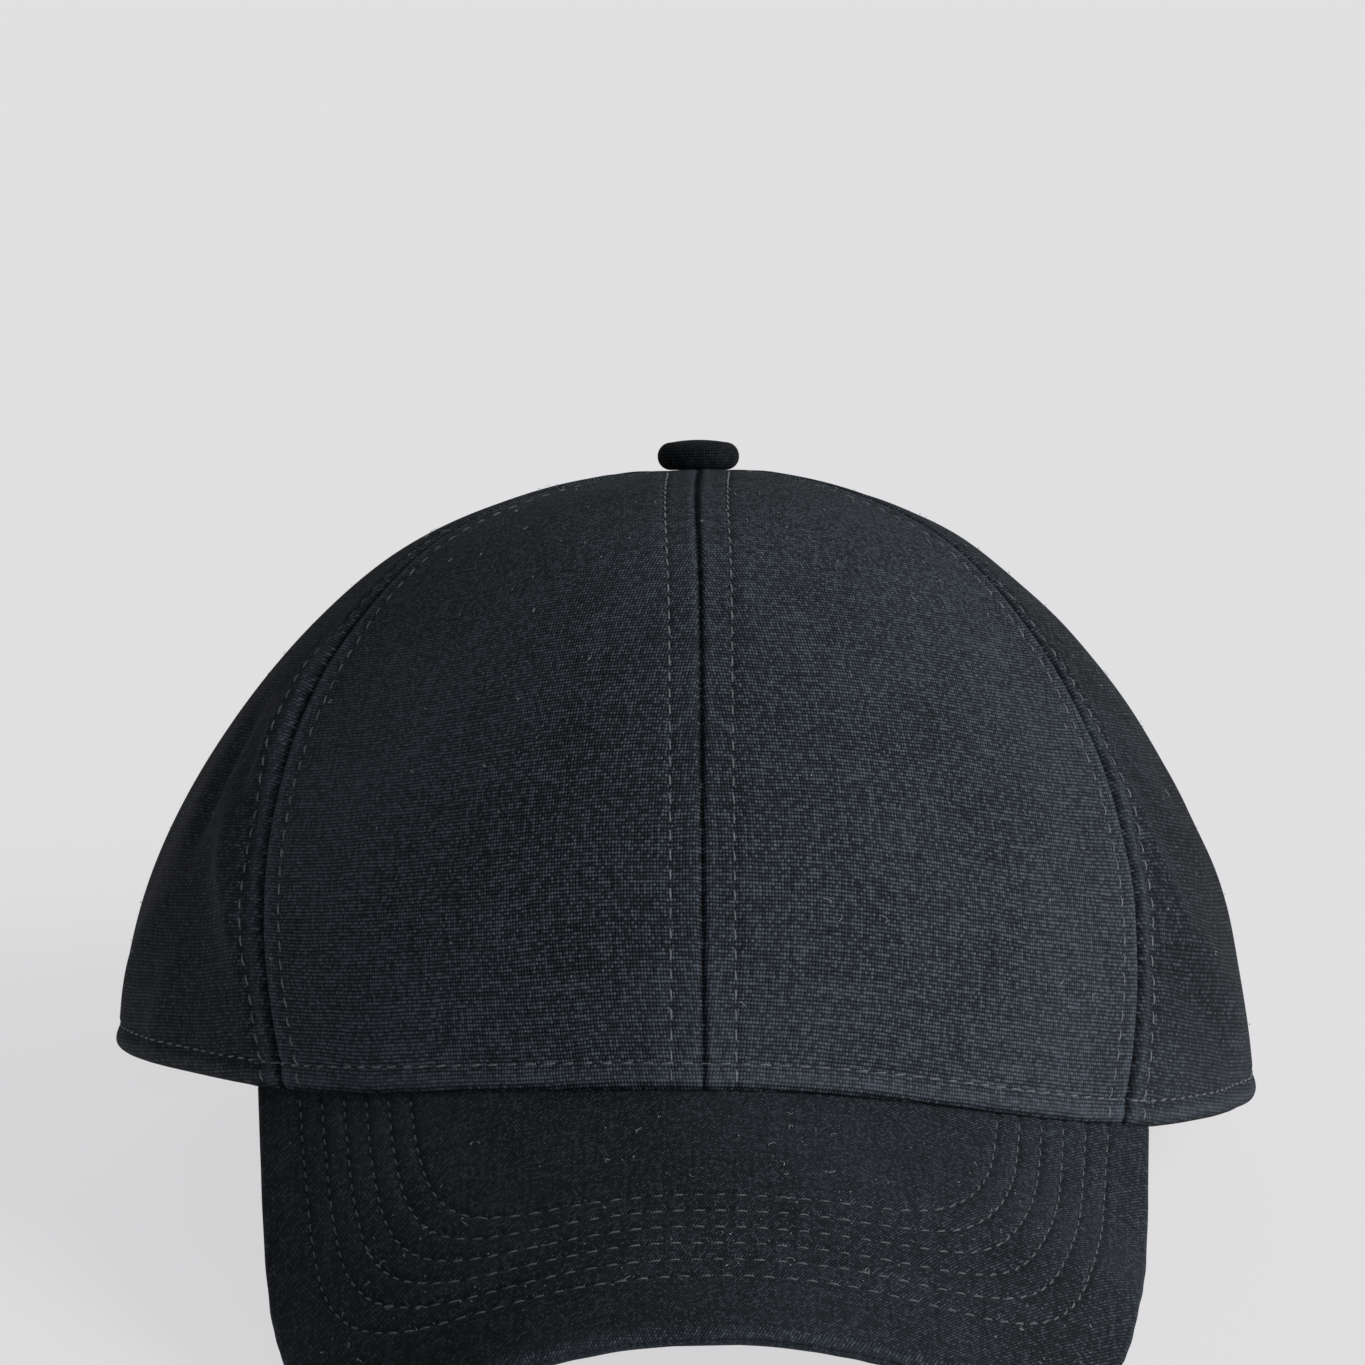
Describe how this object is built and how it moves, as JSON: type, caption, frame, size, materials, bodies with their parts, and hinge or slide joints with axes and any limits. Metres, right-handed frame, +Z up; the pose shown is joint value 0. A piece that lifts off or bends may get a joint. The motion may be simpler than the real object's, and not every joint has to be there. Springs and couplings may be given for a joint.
{
  "type": "baseball cap",
  "caption": "Panelled cloth baseball cap with a stiffened front, a curved stitched bill, a covered top button and a strap with a locking buckle at the back.",
  "frame": {"origin": "centre of the bounding box on the floor the cap rests on", "axes": "+Z up, the bill points to -Y, +X is the left side of the wearer; the cap stands on the tips of its bill and the back of its rim"},
  "size_m": [0.1828, 0.2554, 0.1161],
  "materials": {
    "canvas": "plain weave, matt, slightly faded",
    "twill": "diagonal twill weave, matt",
    "board": "moulded bill board",
    "stiffener": "open buckram mesh, stiffened",
    "tape": "folded seam tape",
    "sweatband": "cotton twill sweatband",
    "steel": "plain pressed steel",
    "buckle_metal": "dark plated, worn at the edges",
    "label": "blank woven tape"
  },
  "bodies": {
    "cap": {"front_panel_left": "canvas", "front_panel_right": "canvas", "side_panel_left": "canvas", "side_panel_right": "canvas", "back_panel_left": "canvas", "back_panel_right": "canvas", "button_cover": "canvas", "arch_binding": "canvas", "buckle_tab": "canvas", "bill_top_cover": "twill", "bill_under_cover": "twill", "bill_board": "board", "buckram_left": "stiffener", "buckram_right": "stiffener", "seam_tape_front": "tape", "seam_tape_back": "tape", "seam_tape_side_left": "tape", "seam_tape_side_right": "tape", "seam_tape_rear_left": "tape", "seam_tape_rear_right": "tape", "sweatband": "sweatband", "button_shell": "steel", "button_rivet": "steel", "buckle_frame": "buckle_metal", "buckle_pin": "buckle_metal", "care_label": "label"},
    "strap": {"strap": "canvas"},
    "lever": {"buckle_lever": "buckle_metal"}
  },
  "joints": [
    {"name": "strap_slide", "type": "hinge", "parent": "cap", "child": "strap", "pos_m": [0, 0.03747, 0.03096], "axis": [0, 0.2311, 0.9729], "range_deg": [-12, 12]},
    {"name": "lever_hinge", "type": "hinge", "parent": "cap", "child": "lever", "pos_m": [0.02735, 0.12185, 0.01142], "axis": [0.0422, -0.0749, -0.9963], "range_deg": [0, 100]}
  ]
}
